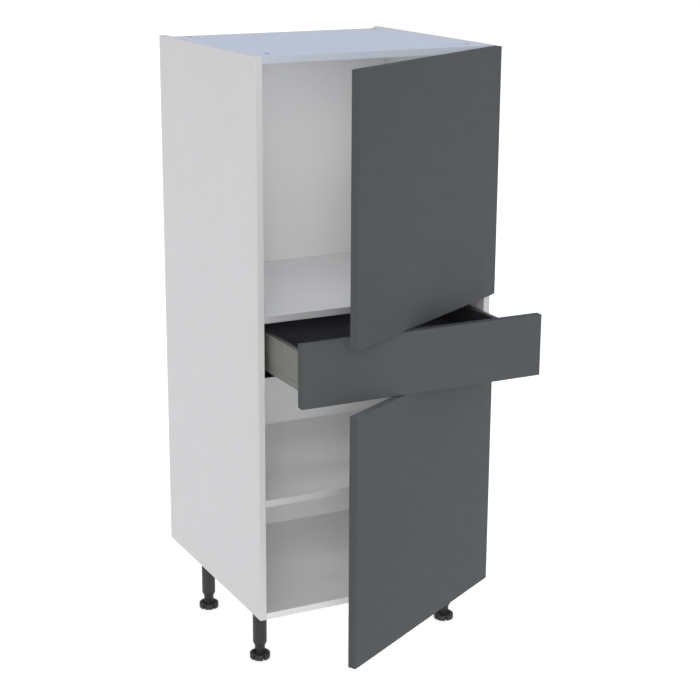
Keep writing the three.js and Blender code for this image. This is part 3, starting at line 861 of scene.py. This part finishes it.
def hinge_link():
    """Flat link with an eye round the arm's pivot, lying along +X from it."""
    turns = (math.radians(25 + 310 * i / 20) for i in range(21))
    eye = [(2.4 * math.cos(turn), 2.4 * math.sin(turn)) for turn in turns]
    outline = [*eye, (4.5, -0.95), (17.2, -0.95), (17.9, -0.5), (17.9, 0.5), (17.2, 0.95), (4.5, 0.95)]
    bar = extruded(outline, -LINK_HALF_HEIGHT, LINK_HALF_HEIGHT)
    bore = turned([(0, -5), (1.45, -5), (1.45, 5), (0, 5)], 24)
    return soften(cut(bar, bore), 0.2, 50)


def add_hinges():
    for door in DOORS:
        axis = JOINTS[f"{door}_door_hinge"]["pos_m"][:2]
        pivot = JOINTS[f"{door}_hinge_link_turn"]["pos_m"][:2]
        link_turn = LINK_CLOSED + RATIOS[f"{door}_hinge_link_turn"] * DOOR_OPEN
        leaf, links = f"{door}_door", f"{door}_hinge_links"
        for level in LEVELS:
            place = f"{door}_{level}"
            height = centre(f"hinge_plate_{place}").z
            on_door = frame_at((*axis, height), DOOR_OPEN)
            on_side = frame_at((0, FRONT_EDGE, height))
            on_link = frame_at((*pivot, height), link_turn)
            for kind, part, where, body in (
                ("cup", hinge_cup(), on_door, leaf),
                ("arm", hinge_arm(), on_side, "carcass"),
                ("plate", hinge_plate(), on_side, "carcass"),
                ("link", hinge_link(), on_link, links),
            ):
                node = f"hinge_{kind}_{place}"
                piece(f"{node}_detail", part, where, body, "steel", zinc, stands_for=[node])
            for kind, part, where, body in (
                ("cup_screws", cup_screws(), on_door, leaf),
                ("arm_fittings", arm_fittings(), on_side, "carcass"),
                ("plate_screws", plate_screws(), on_side, "carcass"),
            ):
                piece(f"hinge_{kind}_{place}", part, where, body, "steel", zinc)


# ------------------------------------------------------------------ drawer

SIDE_OUTER = 271
SIDE_INNER = 257.5
SIDE_BOTTOM = 597
SIDE_TOP = 685.5
SIDE_SPAN = (-3, 488)
SHEET = 1.2
GROOVE = 614.8  # middle of the line pressed into the outer wall
GROOVE_DEPTH = 0.8
LEDGE = 613.2  # the bottom board lies on it
LEDGE_REACH = 20
WEB = 629.8  # underside of the box section
PAINT_FROM = (SIDE_OUTER - 0.9) * MM  # faces further out keep the metal's own finish
PAINT_TURN = 0.3  # a face counts as turned upwards or inwards when its normal reaches this

BRACKET_PLAY = 0.6
BRACKET_SHEET = 2
BRACKET_BACK = 42
BRACKET_SPAN_Z = (635.5, 679.5)
BRACKET_HOLES = ((14, 646), (14, 669), (32, 657.5))
BRACKET_HOLE_R = 3.2

CABINET_RUNNER_SPAN = (8, 488)
RUNNER_FACE = 282  # inner face of the runner's upright plate
RUNNER_SLOTS_Y = (60, 190, 320, 450)
RUNNER_SLOTS_Z = (612, 636)
RUNNER_SCREWS_Y = (37, 261, 421)
RUNNER_SCREWS_Z = 624
MIDDLE_RUNNER_SPAN = (14, 464)
DRAWER_RUNNER_SPAN = (4, 460)


def coat_and_shade_inside(shell, sign):
    """Gives the top of a drawer side its dark finish, and its inner wall a darker copy of that finish as painted
    shade.
    """
    for polygon in shell.data.polygons:
        if abs(polygon.center.x) > PAINT_FROM:
            continue
        if polygon.normal.z > PAINT_TURN:
            polygon.material_index = 1
        elif polygon.normal.x * sign < -PAINT_TURN:
            # painted shade on the inner wall
            polygon.material_index = 2


def drawer_side():
    """Roll-formed side: outer skin with its pressed line, box section, and ledge for the bottom board."""
    skin = SIDE_OUTER - GROOVE_DEPTH
    wall = skin - SHEET
    outer = rounded([
        (SIDE_OUTER, SIDE_BOTTOM, 0.8),
        (SIDE_OUTER, GROOVE - 2),
        (skin, GROOVE - 1),
        (skin, GROOVE + 1),
        (SIDE_OUTER, GROOVE + 2),
        (SIDE_OUTER, SIDE_TOP, 2.2),
        (SIDE_INNER, SIDE_TOP, 2.2),
        (SIDE_INNER, WEB, 1.0),
        (wall, WEB),
        (wall, LEDGE),
        (SIDE_OUTER - LEDGE_REACH, LEDGE),
        (SIDE_OUTER - LEDGE_REACH, LEDGE - SHEET),
        (wall, LEDGE - SHEET),
        (wall, SIDE_BOTTOM, 0.8),
    ], 0.3, 5)
    hollow = rectangle(SIDE_INNER + SHEET, SIDE_OUTER - SHEET, WEB + SHEET, SIDE_TOP - SHEET, 1.0)
    start, end = SIDE_SPAN
    return cut(extruded(outer, start, end, "Y"), extruded(hollow, start - 1, end + 1, "Y"))


def drawer_bracket():
    """Steel angle in the mouth of the side, with its screw holes."""
    left, right = SIDE_INNER + SHEET + BRACKET_PLAY, SIDE_OUTER - GROOVE_DEPTH - SHEET - BRACKET_PLAY
    front = SIDE_SPAN[0]
    flat = extruded(rectangle(left, right, *BRACKET_SPAN_Z, 1.5), front, front + BRACKET_SHEET, "Y")
    web = extruded(rectangle(front, BRACKET_BACK, *BRACKET_SPAN_Z, 3), left, left + BRACKET_SHEET, "X")
    bore = [(0, left - 1), (BRACKET_HOLE_R, left - 1), (BRACKET_HOLE_R, left + 3), (0, left + 3)]
    holes = [turned(bore, 24, "X", (0, y, z)) for y, z in BRACKET_HOLES]
    return soften(cut(join(flat, web), *holes), 0.25, 50)


def cabinet_runner():
    """Angle on the side panel, near black as painted shade for the gap beside the drawer, with a track and a lip
    on its foot and screw slots in its plate.
    """
    outline = rounded([
        (INNER, 585, 1.6),
        (INNER, 650),
        (RUNNER_FACE, 650),
        (RUNNER_FACE, 587),
        (264, 587),
        (264, 594.3),
        (254, 594.3),
        (254, 587),
        (252, 587),
        (252, 592),
        (250, 592),
        (250, 585, 1.4),
    ], 0.5, 4)
    slots = [
        extruded(rectangle(y - 7, y + 7, z - 2.6, z + 2.6, 2.5, 6), RUNNER_FACE - 1, INNER + 1, "X")
        for y in RUNNER_SLOTS_Y for z in RUNNER_SLOTS_Z
    ]
    return soften(cut(extruded(outline, *CABINET_RUNNER_SPAN, "Y"), *slots), 0.2, 50)


def runner_screws():
    return together(*(
        screw_at(3.8, 1.4, -90, "Y", (RUNNER_FACE, y, RUNNER_SCREWS_Z)) for y in RUNNER_SCREWS_Y
    ))


def middle_runner():
    """Zinc channel on the track, open above."""
    outline = rounded([
        (250.5, 594.6, 0.9),
        (267, 594.6, 0.9),
        (267, 603),
        (265.6, 603),
        (265.6, 596),
        (251.9, 596),
        (251.9, 603),
        (250.5, 603),
    ], 0.4, 4)
    return soften(extruded(outline, *MIDDLE_RUNNER_SPAN, "Y"), 0.15, 60)


def drawer_runner():
    """Inverted zinc channel under the ledge of the drawer side."""
    outline = rounded([
        (253.5, 597),
        (254.9, 597),
        (254.9, 610.3),
        (262.6, 610.3),
        (262.6, 597),
        (264, 597),
        (264, 611.7, 0.9),
        (253.5, 611.7, 0.9),
    ], 0.4, 4)
    return soften(extruded(outline, *DRAWER_RUNNER_SPAN, "Y"), 0.15, 60)


def add_drawer():
    for side, sign in SIDES.items():
        node = f"drawer_side_{side}"
        shell = piece(f"{node}_detail", handed(drawer_side(), sign), DRAWER, "drawer", "side_metal",
                      side_metal, side_dark, side_inside_painted_shade, stands_for=[node])
        coat_and_shade_inside(shell, sign)
        for node, part, where, body, slot, material in (
            (f"drawer_bracket_{side}", drawer_bracket(), DRAWER, "drawer", "steel", zinc),
            (f"runner_drawer_{side}", drawer_runner(), DRAWER, "drawer", "steel", zinc),
            (f"runner_middle_{side}", middle_runner(), MIDDLE, "runner_middle", "steel", zinc),
            (f"runner_cabinet_{side}", cabinet_runner(), CARCASS, "carcass", "runner_black", runner_black),
        ):
            piece(f"{node}_detail", handed(part, sign), where, body, slot, material, stands_for=[node])
        piece(f"runner_screws_{side}", handed(runner_screws(), sign), CARCASS, "carcass", "steel", zinc)


# ------------------------------------------------------------------ studio

FLOOR_SPAN = (-14, 14, -10, 18)  # metres
FLOOR_DEPTH = (-0.02, -0.0005)
FLOOR_TONES = ((0.93, 0.92, 0.85), (0.95, 0.94, 0.87))
FLOOR_GLOW = (1, 1, 1.02, 1)
FLOOR_GLOW_STRENGTH = 0.58

# Suns: direction they come from, strength, width in degrees, colour
KEY = ((-0.42, -0.867, 0.266), 1.13, 25, (1, 1, 1))
OVERHEAD = ((0, 0, 1), 0.36, 20, (0.0, 0.1, 1.0))

# Soft panels inside the compartments, in millimetres in the carcass frame
FILL_SPREAD = math.radians(120)
FILL_X = -30
FILLS = (  # name, height, height that it aims at on the back panel, size, power
    ("upper_fill", 1030, 1030, (260, 460), 0.155),
    ("upper_top_fill", 1225, 1235, (380, 90), 0.25),
    ("middle_fill", 495, 550, (300, 120), 0.36),
    ("bottom_fill", 180, 250, (220, 90), 0.185),
)
FILL_FRONT, FILL_BACK = 8, 500
GLOWS = (  # name, height, power; they look straight down
    ("upper_glow", 1280, 0.32),
    ("middle_glow", 580, 0.15),
    ("bottom_glow", 274, 0.085),
)
GLOW_Y = 40
GLOW_SIZE = (440, 70)
DRAWER_FILL = ((0, 150, 709), (0, 150, 600), (440, 280), 0.034)  # place, what it looks at, size, power

WORLD_STRENGTH = 0.594
WORLD_WHITE = (1, 1, 1, 1)
WORLD_ZENITH = (0.85, 1.0, 1.0, 1)
ZENITH_POWER = 4.0  # how quickly the zenith's colour fades towards the horizon

CAMERA_AT = (-1734.3, -3225.7, 1657.1)
CAMERA_YAW, CAMERA_PITCH = 25.92, -15.44
CAMERA_LENS = 85.0
CAMERA_SENSOR = 36
CAMERA_SHIFT = (0.0542, -0.017)
CAMERA_REACH = 60


def add_floor():
    """Seamless pale floor. It throws no light back on the cabinet."""
    floor = as_object(extruded(rectangle(*FLOOR_SPAN), *FLOOR_DEPTH), "studio_floor")
    shader = Shader("studio_floor", 0.8, 0.0, 0.1)
    shader.colour(shader.blend(shader.noise(2.0), *FLOOR_TONES))
    shader.bsdf.inputs["Emission Color"].default_value = FLOOR_GLOW
    shader.bsdf.inputs["Emission Strength"].default_value = FLOOR_GLOW_STRENGTH
    floor.data.materials.append(shader.material)
    floor.visible_diffuse = False


def add_lamp(name, light, at, towards):
    lamp = bpy.data.objects.new(name, light)
    lamp.location = at
    lamp.rotation_euler = (Vector(towards) - Vector(at)).to_track_quat("-Z", "Y").to_euler()
    lamp.visible_camera = False
    bpy.context.scene.collection.objects.link(lamp)


def add_sun(name, source, strength, width, colour):
    light = bpy.data.lights.new(name, "SUN")
    light.energy = strength
    light.color = colour
    light.angle = math.radians(width)
    add_lamp(name, light, source, (0, 0, 0))


def add_fill(name, at, towards, size, power):
    light = bpy.data.lights.new(name, "AREA")
    light.spread = FILL_SPREAD
    light.shape = "RECTANGLE"
    light.size, light.size_y = size[0] * MM, size[1] * MM
    light.energy = power
    add_lamp(name, light, CARCASS @ Vector(at), CARCASS @ Vector(towards))


def add_lights():
    """A wide key from the front left, cool light for the upward faces, and fills in the compartments."""
    add_sun("key", *KEY)
    add_sun("overhead", *OVERHEAD)
    for name, height, aim, size, power in FILLS:
        add_fill(name, (FILL_X, FILL_FRONT, height), (FILL_X, FILL_BACK, aim), size, power)
    for name, height, power in GLOWS:
        add_fill(name, (FILL_X, GLOW_Y, height), (FILL_X, GLOW_Y, 0), GLOW_SIZE, power)
    add_fill("drawer_fill", *DRAWER_FILL)


def add_world():
    """Even studio surround, a little bluer overhead, and plain white where the camera looks into it."""
    world = bpy.data.worlds.new("studio")
    world.use_nodes = True
    nodes = world.node_tree.nodes
    links = world.node_tree.links

    def number(operation, value, operand):
        node = nodes.new("ShaderNodeMath")
        node.operation = operation
        node.use_clamp = operation == "POWER"
        node.inputs[1].default_value = operand
        links.new(value, node.inputs[0])
        return node.outputs[0]

    surround = nodes["Background"]
    surround.inputs["Strength"].default_value = WORLD_STRENGTH
    place = nodes.new("ShaderNodeTexCoord")
    split = nodes.new("ShaderNodeSeparateXYZ")
    links.new(place.outputs["Generated"], split.inputs[0])
    overhead = number("POWER", number("MAXIMUM", split.outputs["Z"], 0.0), ZENITH_POWER)
    tint = nodes.new("ShaderNodeMix")
    tint.data_type = "RGBA"
    tint.inputs[6].default_value = WORLD_WHITE
    tint.inputs[7].default_value = WORLD_ZENITH
    links.new(overhead, tint.inputs[0])
    links.new(tint.outputs[2], surround.inputs["Color"])
    backdrop = nodes.new("ShaderNodeBackground")
    backdrop.inputs["Color"].default_value = WORLD_WHITE
    ray = nodes.new("ShaderNodeLightPath")
    choice = nodes.new("ShaderNodeMixShader")
    links.new(ray.outputs["Is Camera Ray"], choice.inputs[0])
    links.new(surround.outputs[0], choice.inputs[1])
    links.new(backdrop.outputs[0], choice.inputs[2])
    links.new(choice.outputs[0], nodes["World Output"].inputs["Surface"])
    bpy.context.scene.world = world


def add_camera():
    """The camera stands to the left and above, and looks down a little."""
    camera = bpy.data.cameras.new("camera")
    camera.sensor_width = CAMERA_SENSOR
    camera.lens = CAMERA_LENS
    camera.shift_x, camera.shift_y = CAMERA_SHIFT
    camera.clip_end = CAMERA_REACH
    obj = bpy.data.objects.new("camera", camera)
    obj.location = CARCASS @ Vector(CAMERA_AT)
    obj.rotation_euler = (math.radians(90 + CAMERA_PITCH), 0, math.radians(-CAMERA_YAW))
    bpy.context.scene.collection.objects.link(obj)
    bpy.context.scene.camera = obj


# ------------------------------------------------------------------ whole

dress_boards()
add_cams()
add_shelf_pins()
add_legs()
add_hinges()
add_drawer()
add_floor()
add_world()
add_lights()
add_camera()
bpy.context.scene.view_settings.view_transform = "Standard"
